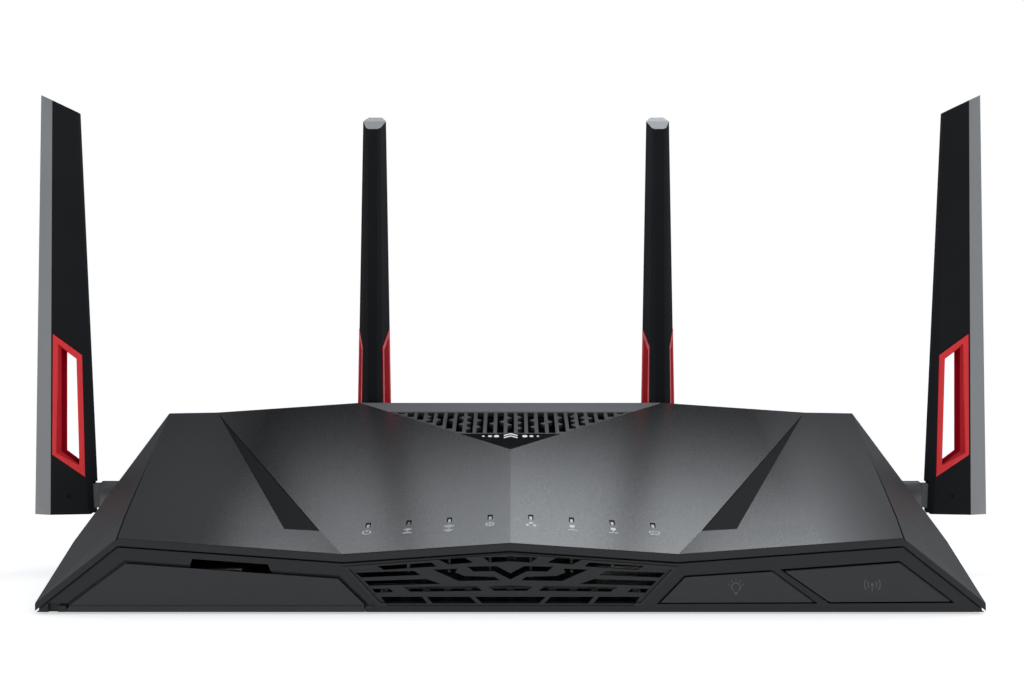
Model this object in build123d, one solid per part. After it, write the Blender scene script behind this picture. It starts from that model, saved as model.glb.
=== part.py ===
from build123d import *
import math
import os

# Wireless router with four paddle antennas.
# Modelling frame: X across, Y back from the front lower edge, Z up from the underside
# of the body. Everything is moved to the centre of the footprint when it is saved.

# ---- overall -------------------------------------------------------------------
Y_SHIFT = -113.9
FOOT_H = 1.5
FRONT_Y = 3.0
COVER_T = 2.4
SEAM = 0.65
SKIRT_Z = -0.9
TIP_X = 149.5
LIP_CHAMFER = 0.35
LIP_SLOPES = (0.2374, 0.183, 0.2755)
WALL_T = 2.0
FLOOR_T = 2.0

# ---- faceted upper surface: right-hand corners ------------------------------------
R0 = (0.0, FRONT_Y, 21.0)
V0 = (53.0, FRONT_Y, 17.44)
B0 = (124.0, FRONT_Y, 22.54)
A0 = (150.0, FRONT_Y, 2.0)
K0 = (146.2, 40.0, 18.0)
C0 = (139.3, 180.0, 56.7)
P0 = (121.0, 188.0, 56.8)
Q0 = (62.2, 188.0, 60.8)
T0 = (0.0, 106.2, 45.5)
G0 = (62.6, 27.4, 22.6)
G1 = (74.2, 26.75, 23.3)
G2 = (126.65, 27.5, 27.2)

RIGHT_CELLS = [
    (R0, V0, T0), (V0, G0, T0), (G0, P0, T0), (P0, Q0, T0),
    (V0, B0, G2), (V0, G2, G1), (V0, G1, G0),
    (G0, G1, P0), (G1, G2, P0), (G2, C0, P0),
    (B0, A0, G2), (A0, K0, G2), (G2, K0, C0),
]
RIGHT_RIM = [R0, V0, B0, A0, K0, C0, P0, Q0]

# ---- housing, bezel ----------------------------------------------------------------
HOUSING_OUTLINE = [
    (-128, 6.4), (128, 6.4), (134, 30), (134, 168), (124, 178.2),
    (-124, 178.2), (-134, 168), (-134, 30),
]
REAR_Y = 178.2
SIDE_X = 134.0
BEZEL_Y0 = 0.9
BEZEL_Y1 = 3.2
POCKET_Y = 2.4
BOARD_Z = 5.0
BOARD_T = 1.6
BOARD_TOP = BOARD_Z + BOARD_T

# ---- triangular insert ----------------------------------------------------------------
TRI_SLOPE = (Q0[2] - T0[2]) / (Q0[1] - T0[1])
TRI_HALF = Q0[0] / (Q0[1] - T0[1])
BADGE_END = 132.4
GRILLE_END = 170.9

# ---- antennas -------------------------------------------------------------------------------
ARM_Z = 27.0
REAR_ARM_Z = 30.4
PIN_REACH = 32.8
SIDE_ANT_Y = 130.0
REAR_ANT_X = (-58.3, 62.8)
SLEEVE_R = 5.4
JACK_R = 3.2
JACK_CLEAR = 0.06
PIN_R = 1.6
PIN_HALF = 4.7
PIN_CLEAR = 0.05
TONGUE_HALF = 2.5
SLOT_HALF = 2.8
BLADE_LOW = -7.0
BLADE_HIGH = 153.0
BASE_HALF = [(-9.2, 2.0), (-6.5, 4.6), (7.1, 7.7), (13.8, 4.0)]
TIP_HALF = [(-1.8, 1.95), (-0.6, 3.0), (7.1, 4.85), (11.8, 2.8)]
WINDOW_OUT = [(-5.4, 7.1), (6.5, 15.7), (6.5, 61.5), (-4.1, 53.4)]
WINDOW_IN = [(-3.1, 12.0), (3.6, 17.0), (3.6, 56.2), (-2.0, 52.0)]

# ---- front controls (X, Z outlines) ------------------------------------------------------------
DOOR = [(-140.0, -0.8), (-139.2, 1.3), (-121.5, 14.45), (-54.5, 9.7), (-46.3, 1.8), (-46.0, -0.8)]
LIGHT_KEY = [(47.4, 2.15), (95.6, 2.3), (82.6, 11.9), (55.2, 10.15)]
RADIO_KEY = [(100.9, 2.3), (139.0, 2.5), (122.8, 14.8), (86.5, 12.2)]
GRILLE = [(-41.5, 1.1), (41.5, 1.1), (53.0, 13.4), (0.0, 17.5), (-53.0, 13.4)]
DOOR_AXIS = (1.1, 0.1)
KEY_GAP = 0.5
DOOR_GAP = 1.0
FINGER_NOTCH = [(-102.0, 12.0), (-75.4, 11.0), (-76.6, 14.2), (-100.6, 15.9)]
LED_X = [6.7, 20.1, 33.5, 46.9]
LED_Y = 30.0


# ---- joints between panels ------------------------------------------------------------------------
GRILLE_LEDGE = 3.2
PLATE_UNDER = 1.78
FIT = 0.12
FLANGE_GROW = 0.7
FLANGE_Y = (3.35, 4.2)
DOOR_Y = (0.3, 1.9)
DOOR_PIN_R = 0.55
DOOR_BORE_R = 0.6

# ---- sockets and keys at the back -------------------------------------------------------------------
PORT_FRAMES = {"wan": (27.5, 43.5), "lan": (-46.0, 18.5)}
PANEL_Y0 = REAR_Y - 2.0
PANEL_X = 120.8
USB_REAR_X = 80.0
USB_HALF = 6.6
USB_HIGH = 5.8
DC_X = 97.0
DC_R = 4.5
POWER_X = 112.0
POWER_R = 3.5
ROUND_Z = 12.1
PAIR_X = -80.0
PAIR_R = 2.4
RESET_X = -95.0
RESET_R = 1.2
SMALL_KEY_Z = 10.0
JACK_TOP = BOARD_TOP + 13.4
LEAD_R = 0.7

# ---- controls inside the front ---------------------------------------------------------------------
LIGHT_STEM_X = 64.0
RADIO_STEM_X = 108.0
USB_FRONT_X = -92.0


# ---- small helpers ----------------------------------------------------------------------------------
def flip(point):
    return (-point[0],) + tuple(point[1:])


def polygon(points):
    return Face(Wire.make_polygon([Vector(*p) for p in points], close=True))


def box(x0, x1, y0, y1, z0, z1):
    return Pos((x0 + x1) / 2, (y0 + y1) / 2, (z0 + z1) / 2) * Box(x1 - x0, y1 - y0, z1 - z0)


def prism_xy(points, z0, z1):
    return extrude(polygon([(x, y, z0) for x, y in points]), amount=z1 - z0, dir=(0, 0, 1))


def prism_xz(points, y0, y1):
    return extrude(polygon([(x, y0, z) for x, z in points]), amount=y1 - y0, dir=(0, 1, 0))


def prism_yz(points, x0, x1):
    return extrude(polygon([(x0, y, z) for y, z in points]), amount=x1 - x0, dir=(1, 0, 0))


def rod(start, end, radius):
    a = Vector(*start)
    b = Vector(*end)
    return Solid.make_cylinder(radius, (b - a).length, Plane(origin=a, z_dir=(b - a)))


def grow(points, amount):
    """Offset a simple outline outwards, or inwards when amount is negative."""
    area = sum(points[i - 1][0] * p[1] - p[0] * points[i - 1][1] for i, p in enumerate(points))
    side = 1.0 if area > 0 else -1.0
    count = len(points)
    lines = []
    for i in range(count):
        (x0, y0), (x1, y1) = points[i], points[(i + 1) % count]
        length = math.hypot(x1 - x0, y1 - y0)
        nx, ny = side * (y1 - y0) / length, -side * (x1 - x0) / length
        lines.append((x0 + nx * amount, y0 + ny * amount, x1 - x0, y1 - y0))
    moved = []
    for i in range(count):
        ax, ay, adx, ady = lines[i - 1]
        bx, by, bdx, bdy = lines[i]
        cross = adx * bdy - ady * bdx
        t = ((bx - ax) * bdy - (by - ay) * bdx) / cross
        moved.append((ax + adx * t, ay + ady * t))
    return moved


# ---- faceted surface volumes --------------------------------------------------------------------------
def rim_loop():
    left = [flip(p) for p in reversed(RIGHT_RIM[1:])]
    return RIGHT_RIM + left


def surface_cells():
    cells = list(RIGHT_CELLS)
    cells += [tuple(flip(p) for p in reversed(cell)) for cell in RIGHT_CELLS]
    cells.append((T0, Q0, flip(Q0)))
    return cells


def lowered(point, drop):
    return (point[0], point[1], point[2] - drop)


def shell_between(top_drop, bottom_drop):
    faces = []
    for cell in surface_cells():
        faces.append(polygon([lowered(p, top_drop) for p in cell]))
        faces.append(polygon([lowered(p, bottom_drop) for p in cell]))
    loop = rim_loop()
    for i, p in enumerate(loop):
        q = loop[(i + 1) % len(loop)]
        faces.append(polygon([lowered(p, bottom_drop), lowered(q, bottom_drop),
                              lowered(q, top_drop), lowered(p, top_drop)]))
    return Solid(Shell(faces))


def volume_under(drop):
    floor_z = -20.0
    faces = [polygon([(p[0], p[1], floor_z) for p in rim_loop()])]
    for cell in surface_cells():
        faces.append(polygon([lowered(p, drop) for p in cell]))
    loop = rim_loop()
    for i, p in enumerate(loop):
        q = loop[(i + 1) % len(loop)]
        faces.append(polygon([(p[0], p[1], floor_z), (q[0], q[1], floor_z),
                              lowered(q, drop), lowered(p, drop)]))
    return Solid(Shell(faces))


def tri_slab(high, low):
    ya, yb = 100.0, 192.0
    za = T0[2] + TRI_SLOPE * (ya - T0[1])
    zb = T0[2] + TRI_SLOPE * (yb - T0[1])
    return prism_yz([(ya, za + low), (yb, zb + low), (yb, zb + high), (ya, za + high)], -80, 80)


def tri_half_width(y):
    return TRI_HALF * (y - T0[1])


def tri_band(y0, y1, inset):
    w0, w1 = tri_half_width(y0) - inset, tri_half_width(y1) - inset
    if w0 <= 0.2:
        tip = T0[1] + inset / TRI_HALF
        return [(0, tip), (w1, y1), (-w1, y1)]
    return [(-w0, y0), (w0, y0), (w1, y1), (-w1, y1)]


# ---- body panels ----------------------------------------------------------------------------------------
SCREW_POSTS = [(122, 42), (-122, 42), (122, 160), (-122, 160)]
BOARD_POSTS = [(100, 24), (-100, 24), (104, 158), (-104, 158), (0, 90)]
FEET = [(104, 24), (-104, 24), (104, 150), (-104, 150)]
POST_SPLIT = 14.0


def sliver_outline():
    reach = 0.985
    tip = (G0[0] + (P0[0] - G0[0]) * reach, G0[1] + (P0[1] - G0[1]) * reach)
    return [(G0[0], G0[1]), (G1[0], G1[1]), tip]


def seam_outline():
    end = 0.62
    ex = G2[0] + (C0[0] - G2[0]) * end
    ey = G2[1] + (C0[1] - G2[1]) * end
    w = 0.3
    return [(B0[0] - w, 1.0), (B0[0] + w, 1.0), (G2[0] + w, G2[1]), (ex, ey), (G2[0] - w, G2[1])]


def led_slot(x, grow_by):
    return box(x - 0.85 - grow_by, x + 0.85 + grow_by, LED_Y - 2.4 - grow_by, LED_Y + 2.4 + grow_by, 0, 60)


def both_sides(outline):
    return [outline, [(-x, y) for x, y in outline]]


def lip_chamfer():
    """Wedges along the front lip that take its sharp upper edge off."""
    wedges = []
    cut, reach = LIP_CHAMFER, 0.6
    for (p, q), slope in zip(zip(RIGHT_RIM, RIGHT_RIM[1:4]), LIP_SLOPES):
        rise = 1 + slope
        section = [(-reach, -cut - reach * rise), (cut + reach, cut * slope + reach * rise),
                   (-reach, cut * slope + reach * rise)]
        corners = [(p[0], p[1] + y, p[2] + z) for y, z in section]
        length = math.dist(p, q)
        wedge = extrude(polygon(corners), amount=length, dir=[(b - a) / length for a, b in zip(p, q)])
        wedges += [wedge, mirror(wedge, Plane.YZ)]
    return wedges


def make_top_cover(under):
    cover = shell_between(0.0, COVER_T)
    for wedge in lip_chamfer():
        cover = cover - wedge
    ledge = tri_slab(-0.9, -GRILLE_LEDGE) & prism_xy(tri_band(109.0, 187.9, -3.0), 30, 70)
    cover = cover + (ledge & under[0.2])
    pocket = tri_slab(6.0, -COVER_T) & prism_xy(tri_band(T0[1], 188.5, 0.0), 30, 80)
    cover = cover - pocket
    cover = cover - prism_xy(tri_band(136.0, 168.0, 2.6), 20, 80)
    for outline in both_sides(sliver_outline()):
        cover = cover - (prism_xy(outline, 0, 80) - under[0.8])
    for outline in both_sides(seam_outline()):
        cover = cover - (prism_xy(outline, -2, 80) - under[0.5])
    for x in LED_X:
        cover = cover - led_slot(x, 0.0) - led_slot(-x, 0.0)
    for x, y in SCREW_POSTS:
        post = Pos(x, y, 32) * Cylinder(3.2, 36) & under[1.0]
        cover = cover + post
        cover = cover - Pos(x, y, 16) * Cylinder(1.2, 12)
    return cover


def make_accent_strips(under):
    strips = []
    for outline in both_sides(grow(sliver_outline(), -0.08)):
        strips.append((prism_xy(outline, 0, 80) & under[0.25]) - under[0.78])
    return Compound(strips)


def make_badge_plate():
    return tri_slab(-0.05, -PLATE_UNDER) & prism_xy(tri_band(T0[1], BADGE_END, FIT), 30, 70)


def vent_slots():
    """Front-to-back slots; some run through, others are crossed by one or two slanted ribs."""
    slots = []
    pitch, half, rib = 4.0, 1.3, 0.7
    for i in range(-11, 12):
        x = i * pitch
        start = max(T0[1] + (abs(x) + half) / TRI_HALF + 1.6, BADGE_END + 1.5)
        stop = GRILLE_END - 1.2
        length = stop - start
        if length < 1.8:
            continue
        pattern = ((0.4, 0.74), (0.3, 0.62), (0.55,), (0.24, 0.5, 0.78), (0.46,))[(i * 3) % 5]
        cuts = [start + length * share for share in pattern] if length > 14 else []
        slant = 3.6 if (i // 2) % 2 else -3.6
        edges = [start] + cuts + [stop]
        for j in range(len(edges) - 1):
            first, last = j == 0, j == len(edges) - 2
            a = edges[j] + (0.0 if first else rib)
            b = edges[j + 1] - (0.0 if last else rib)
            lo = 0.0 if first else slant / 2
            hi = 0.0 if last else -slant / 2
            slots.append([(x - half, a - lo), (x + half, a + lo), (x + half, b + hi), (x - half, b - hi)])
    return slots


def make_vent_grille():
    grille = tri_slab(-0.15, -PLATE_UNDER) & prism_xy(tri_band(BADGE_END + 0.1, GRILLE_END, FIT), 30, 70)
    for outline in vent_slots():
        grille = grille - prism_xy(outline, 30, 80)
    return grille


def make_rear_bar():
    return tri_slab(0.0, -PLATE_UNDER) & prism_xy(tri_band(GRILLE_END + 0.1, 188.0, FIT), 30, 70)


def keyhole(x, y):
    return Pos(x, y, 1) * Cylinder(4.0, 6) + box(x - 2, x + 2, y, y + 10, -2, 4)


KEYHOLES = [(-72, 96), (72, 96)]


def make_housing(under):
    tub = prism_xy(HOUSING_OUTLINE, 0, 70) & under[COVER_T + 0.02]
    tub = tub - prism_xy(grow(HOUSING_OUTLINE, -WALL_T), FLOOR_T, 90)
    # the front is closed by the bezel and the back by the rear panel
    tub = tub - box(-140, 140, 0, 9.5, FLOOR_T, 60)
    tub = tub - box(-121, 121, 175, 180, FLOOR_T, 70)
    tub = tub - box(44, 142, 5, 8.6, 1.2, 3)
    for x, y in SCREW_POSTS:
        tub = tub + Pos(x, y, (POST_SPLIT - 0.1) / 2) * Cylinder(3.6, POST_SPLIT - 0.1)
        tub = tub - Pos(x, y, 7) * Cylinder(1.45, 16) - Pos(x, y, 1.5) * Cylinder(2.7, 3.0)
    for x, y in BOARD_POSTS:
        tub = tub + Pos(x, y, BOARD_Z / 2) * Cylinder(3.0, BOARD_Z)
        tub = tub - Pos(x, y, 4.5) * Cylinder(1.1, 4.0)
    for x, y in FEET:
        tub = tub - Pos(x, y, 0) * Cylinder(6.1, 1.0)
    for x, y in KEYHOLES:
        tub = tub - keyhole(x, y)
    for row in range(3):
        for i in range(-6, 7):
            x = i * 7.0
            y = 40 + row * 42
            if row == 1 and abs(x) < 5:
                continue
            tub = tub - box(x - 1.25, x + 1.25, y - 8, y + 8, -1, 3)
    for side in (-1, 1):
        tub = tub - rod((side * 130, SIDE_ANT_Y, ARM_Z), (side * 140, SIDE_ANT_Y, ARM_Z), JACK_R)
        for i in range(6):
            y = 48 + i * 9
            tub = tub - box(side * 133 - 3, side * 133 + 3, y - 1.5, y + 1.5, 9, 19)
    return tub


def bezel_outline():
    """Front view of the bezel: it follows the lower edge of the cover, one seam below it."""
    right = [(p[0], p[2] - COVER_T - SEAM) for p in (A0, B0, V0, R0)]
    return right + [(-x, z) for x, z in reversed(right[:-1])]


def seam_backing(under):
    """Rib behind the bezel's edge that closes the seam below the cover."""
    y0, y1 = FRONT_Y + BEZEL_Y1 - 0.1, FRONT_Y + BEZEL_Y1 + 1.4
    band = box(-TIP_X, TIP_X, y0, y1, 2.5, 40)
    for side in (-1, 1):
        band = band + box(*sorted((side * 129, side * TIP_X)), y0, y1, SKIRT_Z, 3)
    return (band & under[COVER_T + 0.02]) - prism_xz(grow(bezel_outline(), -1.0), 0, 12)


def make_bezel(under):
    bezel = prism_xz(bezel_outline(), BEZEL_Y0, BEZEL_Y1) & box(-150, 150, 0, 5, SKIRT_Z, 30)
    bezel = Pos(0, -FRONT_Y, 0) * seam_backing(under) + bezel
    bezel = bezel - prism_xz(grow(GRILLE, 0.05), 0, BEZEL_Y1 + 0.05)
    for key in (LIGHT_KEY, RADIO_KEY):
        bezel = bezel - prism_xz(grow(key, KEY_GAP), 0, 6)
    bezel = bezel - prism_xz(grow(DOOR, DOOR_GAP), 0, POCKET_Y)
    bezel = bezel - box(-146, -45.6, 0, POCKET_Y, -2, 2.0)
    bezel = bezel - prism_xz([(-112, 3.2), (-72, 3.2), (-74, 10.2), (-110, 11.8)], 0, 6)
    bezel = bezel - prism_xz(FINGER_NOTCH, 0, 6)
    # lugs that carry the door
    for x0, x1 in ((-142.8, -140.25), (-45.75, -43.2)):
        bezel = bezel + box(x0, x1, 0.3, 3.0, -0.8, 1.2)
        bezel = bezel - rod((x0 + 0.5 if x0 < -100 else x0 - 1, *DOOR_AXIS),
                            (x1 + 1 if x0 < -100 else x1 - 0.5, *DOOR_AXIS), DOOR_BORE_R)
    return bezel


def make_door():
    door = prism_xz(DOOR, *DOOR_Y)
    door = door - box(-139, -47, 0.0, 0.6, 1.1, 1.45)
    door = door - prism_xz([(-118, 4.0), (-60, 4.0), (-62, 8.0), (-117, 11.2)], 1.2, 3)
    for x0, x1 in ((-142, -138), (-48, -44)):
        door = door + rod((x0, *DOOR_AXIS), (x1, *DOOR_AXIS), DOOR_PIN_R)
    return door


# louvre openings of the left half, each a slanted four-sided slot: (X, Z) corners
LOUVRES = [
    [(-22.8, 15.8), (-14.4, 16.3), (-11.8, 14.7), (-19.6, 14.1)],
    [(-42.2, 13.7), (-25.0, 14.8), (-23.4, 13.5), (-40.0, 12.4)],
    [(-49.0, 11.5), (-30.6, 12.1), (-28.2, 10.8), (-47.2, 10.0)],
    [(-46.2, 8.9), (-26.5, 9.5), (-22.0, 8.0), (-44.7, 7.4)],
    [(-43.8, 6.4), (-38.4, 6.5), (-36.9, 5.4), (-42.7, 5.2)],
    [(-33.8, 7.0), (-10.6, 7.2), (-9.0, 5.8), (-31.6, 5.5)],
    [(-41.0, 3.9), (-28.0, 3.9), (-26.2, 1.8), (-39.4, 1.8)],
    [(-26.4, 3.9), (-12.8, 3.9), (-10.6, 1.8), (-24.6, 1.8)],
]
Z_LOUVRE = [
    (-24.6, 12.5), (-16.8, 12.8), (-17.4, 11.6), (-14.6, 10.5), (-4.9, 10.2), (-3.4, 9.1), (-16.4, 8.9),
]
CHEVRON = [
    (-13.6, 13.4), (-4.4, 13.6), (0.0, 11.3), (4.4, 13.6), (13.6, 13.4),
    (11.6, 11.9), (5.2, 12.0), (0.0, 9.4), (-5.2, 12.0), (-11.6, 11.9),
]
CENTRE_LOUVRES = [
    [(-8.6, 16.4), (0.0, 17.0), (8.6, 16.4), (6.6, 14.7), (0.0, 15.1), (-6.6, 14.7)],
    [(-6.9, 7.1), (0.0, 7.5), (6.9, 7.1), (5.2, 5.8), (-5.2, 5.8)],
    [(-11.2, 3.9), (11.2, 3.9), (8.9, 1.8), (-8.9, 1.8)],
]


def make_front_grille():
    plate = prism_xz(GRILLE, 1.3, BEZEL_Y1)
    rim = prism_xz(GRILLE, 0.5, 1.35) - prism_xz(grow(GRILLE, -0.9), 0, 3)
    rim = rim - box(-39, 39, 0, 4, 0, 2.4)
    plate = plate + rim
    for shape in LOUVRES + [Z_LOUVRE]:
        plate = plate - prism_xz(shape, 0, 5) - prism_xz([(-x, z) for x, z in shape], 0, 5)
    for shape in CENTRE_LOUVRES + [CHEVRON]:
        plate = plate - prism_xz(shape, 0, 5)
    return plate


def make_key(outline, stem_x):
    key = prism_xz(outline, 0.25, FLANGE_Y[0] + 0.05)
    key = key + prism_xz(grow(outline, FLANGE_GROW), *FLANGE_Y)
    key = key - prism_xz(grow(outline, -1.4), 1.7, 5)
    key = key + box(stem_x - 1.6, stem_x + 1.6, 1.2, 7.0, 7.2, 9.4)
    return key


def make_rear_panel(under):
    panel = box(-PANEL_X, PANEL_X, PANEL_Y0, REAR_Y, FLOOR_T + 0.05, 70) & under[COVER_T + 0.02]
    under_ledge = tri_slab(10, -GRILLE_LEDGE - 0.05) & prism_xy(tri_band(109.0, 192.0, -3.2), 30, 90)
    panel = panel - under_ledge
    for x0, x1 in PORT_FRAMES.values():
        panel = panel - box(x0 - 0.05, x1 + 0.05, 170, 180, BOARD_TOP - 0.05, JACK_TOP + 0.05)
    half = USB_HALF + 0.05
    usb_top = BOARD_TOP + USB_HIGH + 0.1
    panel = panel - box(USB_REAR_X - half, USB_REAR_X + half, 170, 180, BOARD_TOP - 0.05, usb_top)
    for x, z, radius in ((DC_X, ROUND_Z, DC_R + 0.05), (POWER_X, ROUND_Z, POWER_R + 0.1),
                         (PAIR_X, SMALL_KEY_Z, PAIR_R + 0.1), (RESET_X, SMALL_KEY_Z, RESET_R + 0.1)):
        panel = panel - rod((x, 170, z), (x, 180, z), radius)
    for x in REAR_ANT_X:
        panel = panel - rod((x, 170, REAR_ARM_Z), (x, 180, REAR_ARM_Z), JACK_R)
    for i in range(-9, 10):
        if i != 0:
            x = i * 5.0
            panel = panel - box(x - 1.2, x + 1.2, 170, 180, 36, 47)
    return panel


# ---- electronics --------------------------------------------------------------------------------------
def make_board():
    board = box(-112, 112, 17, 172, BOARD_Z, BOARD_TOP)
    board = board - box(-113, -104.5, 160.5, 175, 0, 10)
    for x, y in BOARD_POSTS:
        board = board - Pos(x, y, BOARD_Z) * Cylinder(1.5, 6)
    return board


def make_chips():
    spots = [(-20, 100, 17, 17, 1.4), (38, 100, 12, 12, 1.1), (-62, 108, 10, 14, 1.2), (12, 60, 9, 12, 1.1),
             (-40, 60, 8, 6, 1.3), (66, 66, 7, 7, 1.0), (-70, 70, 7, 7, 1.0), (-4, 132, 22, 10, 5.5),
             (34, 138, 14, 9, 5.5), (84, 134, 9, 9, 4.0)]
    parts = [box(x - a / 2, x + a / 2, y - b / 2, y + b / 2, BOARD_TOP, BOARD_TOP + h)
             for x, y, a, b, h in spots]
    for x, y in ((96, 138), (96, 126), (72, 146), (60, 146)):
        parts.append(Pos(x, y, BOARD_TOP + 5) * Cylinder(4.0, 10))
    return Compound(parts)


def make_heat_sink():
    base_z = BOARD_TOP + 1.4
    sink = box(-36, -4, 84, 116, base_z, base_z + 2)
    for i in range(9):
        x = -35.4 + i * 3.75
        sink = sink + box(x, x + 1.2, 84, 116, base_z + 1.9, base_z + 12)
    return sink


def make_shields():
    parts = []
    for x, y, a, b in ((-88, 96, 28, 36), (82, 98, 32, 34), (44, 47, 30, 18)):
        can = box(x - a / 2, x + a / 2, y - b / 2, y + b / 2, BOARD_TOP, BOARD_TOP + 3.2)
        in_x, in_y = a / 2 - 0.4, b / 2 - 0.4
        can = can - box(x - in_x, x + in_x, y - in_y, y + in_y, 0, BOARD_TOP + 2.8)
        for i in range(-2, 3):
            for j in range(-2, 3):
                can = can - Pos(x + i * a / 6, y + j * b / 6, BOARD_TOP + 3) * Cylinder(0.7, 4)
        parts.append(can)
    return Compound(parts)


def rj45(x0, x1, count):
    block = box(x0, x1, 160.5, REAR_Y + 0.3, BOARD_TOP, JACK_TOP)
    pitch = (x1 - x0) / count
    for i in range(count):
        x = x0 + pitch * (i + 0.5)
        block = block - box(x - 5.9, x + 5.9, 166, 180, BOARD_TOP + 4.2, BOARD_TOP + 12.2)
        block = block - box(x - 3.1, x + 3.1, 166, 180, BOARD_TOP + 1.2, BOARD_TOP + 4.3)
        for k in range(8):
            cx = x - 3.57 + k * 1.02
            block = block + box(cx - 0.2, cx + 0.2, 165.9, 173.5, BOARD_TOP + 11.4, BOARD_TOP + 12.3)
    return block


def usb_socket(x, y_face, y_back):
    lo, hi = sorted((y_face, y_back))
    toward = 1 if y_face > y_back else -1
    z = BOARD_TOP
    shell = box(x - USB_HALF, x + USB_HALF, lo, hi, z, z + USB_HIGH)
    cavity_lo, cavity_hi = sorted((y_face + toward, y_back + toward * 3))
    inside = USB_HALF - 0.4
    shell = shell - box(x - inside, x + inside, cavity_lo, cavity_hi, z + 0.4, z + USB_HIGH - 0.4)
    tongue_lo, tongue_hi = sorted((y_face - toward * 1.5, y_back + toward * 2.9))
    return shell + box(x - 5.6, x + 5.6, tongue_lo, tongue_hi, z + 3.4, z + 5.1)


def make_dc_jack():
    jack = box(DC_X - DC_R, DC_X + DC_R, 162, PANEL_Y0 - 0.1, BOARD_TOP, BOARD_TOP + 10.6)
    jack = jack + rod((DC_X, 170, ROUND_Z), (DC_X, REAR_Y + 0.2, ROUND_Z), DC_R)
    jack = jack - rod((DC_X, 165, ROUND_Z), (DC_X, 180, ROUND_Z), 3.0)
    return jack + rod((DC_X, 164, ROUND_Z), (DC_X, REAR_Y - 1.5, ROUND_Z), 1.0)


def make_power_switch():
    return box(POWER_X - POWER_R, POWER_X + POWER_R, 158, 170.3, BOARD_TOP, BOARD_TOP + 8)


def make_tact_switches():
    parts = []
    for x in (LIGHT_STEM_X, RADIO_STEM_X):
        parts.append(box(x - 3, x + 3, 12.9, 16.9, 4.6, 10.6) + box(x - 1, x + 1, 10.9, 13, 7.6, 9.2)
                     + box(x - 3, x + 3, 16.8, 21, BOARD_TOP, 9.5))
    for x in (PAIR_X, RESET_X):
        parts.append(box(x - 3, x + 3, 162, 171.0, BOARD_TOP, 13) + box(x - 1, x + 1, 170.9, 172.1, 9, 11))
    return Compound(parts)


def make_light_guides(under):
    bar = box(-50, 50, LED_Y - 1.5, LED_Y + 1.5, 14.0, 16.0)
    for x in LED_X:
        for s in (-1, 1):
            post = box(s * x - 0.45, s * x + 0.45, LED_Y - 2.35, LED_Y + 1.4, 9.0, 60) & under[0.3]
            bar = bar + post
    for x in (-49.0, 49.0):
        bar = bar + box(x - 1, x + 1, LED_Y - 1.5, LED_Y + 1.5, BOARD_TOP, 14.1)
    return bar


def make_leds():
    parts = []
    for x in LED_X:
        for s in (-1, 1):
            parts.append(box(s * x - 0.8, s * x + 0.8, LED_Y - 0.8, LED_Y + 0.8, BOARD_TOP, BOARD_TOP + 0.9))
    return Compound(parts)


def make_feet():
    return Compound([Pos(x, y, -0.5) * Cylinder(6.0, 2.0) for x, y in FEET])


def make_housing_screws():
    parts = []
    for x, y in SCREW_POSTS:
        screw = Pos(x, y, 2.0) * Cylinder(2.6, 1.9) + Pos(x, y, 11.5) * Cylinder(1.2, 18)
        parts.append(screw - Pos(x, y, 1.0) * (Box(3.2, 0.7, 1.6) + Box(0.7, 3.2, 1.6)))
    return Compound(parts)


def make_board_screws():
    parts = []
    for x, y in BOARD_POSTS:
        screw = Pos(x, y, BOARD_TOP + 0.8) * Cylinder(2.6, 1.6) + Pos(x, y, 5.2) * Cylinder(1.1, 4.4)
        parts.append(screw - Pos(x, y, BOARD_TOP + 1.6) * (Box(3.0, 0.7, 1.6) + Box(0.7, 3.0, 1.6)))
    return Compound(parts)


def make_power_button():
    key = rod((POWER_X, 172, ROUND_Z), (POWER_X, REAR_Y + 2.0, ROUND_Z), POWER_R)
    key = key + rod((POWER_X, 174.2, ROUND_Z), (POWER_X, 175.9, ROUND_Z), POWER_R + 0.7)
    return key - rod((POWER_X, REAR_Y + 1.6, ROUND_Z), (POWER_X, REAR_Y + 3, ROUND_Z), 2.4)


def make_round_key(x, radius, proud):
    key = rod((x, 173, SMALL_KEY_Z), (x, REAR_Y + proud, SMALL_KEY_Z), radius)
    return key + rod((x, 174.4, SMALL_KEY_Z), (x, 175.9, SMALL_KEY_Z), radius + 1.0)


# ---- antennas: local frame has its origin on the hinge pin, X out along the arm ---------------------------
def section(half, z, spread):
    pts = [(u, p + spread, z) for u, p in half]
    pts += [(u, -p - spread, z) for u, p in reversed(half)]
    return Wire.make_polygon([Vector(*p) for p in pts], close=True)


def blade_loft(spread):
    return Solid.make_loft([section(BASE_HALF, BLADE_LOW, spread),
                            section(TIP_HALF, BLADE_HIGH, spread)], ruled=True)


def blade_trim():
    """Everything cut off the plain wedge: slanted tip, rounded heel, hinge slot."""
    tip = prism_xz([(-14, 140.2), (20, 156.2), (20, 190), (-14, 190)], -12, 12)
    heel = box(-16, 0, -12, 12, -12, 0) - rod((0, -13, 0), (0, 13, 0), 10.2)
    slot = box(-16, 0, -SLOT_HALF, SLOT_HALF, -12, 5.3) + box(-1, 5.3, -SLOT_HALF, SLOT_HALF, -12, 0.1)
    slot = slot + rod((0, -SLOT_HALF, 0), (0, SLOT_HALF, 0), 5.3)
    return tip + heel + slot


def blade_cavity():
    base = [(-3.0, 2.2), (7.6, 4.9), (11.0, 2.4)]
    tip = [(1.4, 1.6), (7.4, 3.0), (9.6, 1.6)]
    hollow = Solid.make_loft([section(base, 9.0, 0), section(tip, 144.0, 0)], ruled=True)
    keep = prism_xz(grow(WINDOW_OUT, 1.1), -12, 12)
    return hollow - keep


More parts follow.
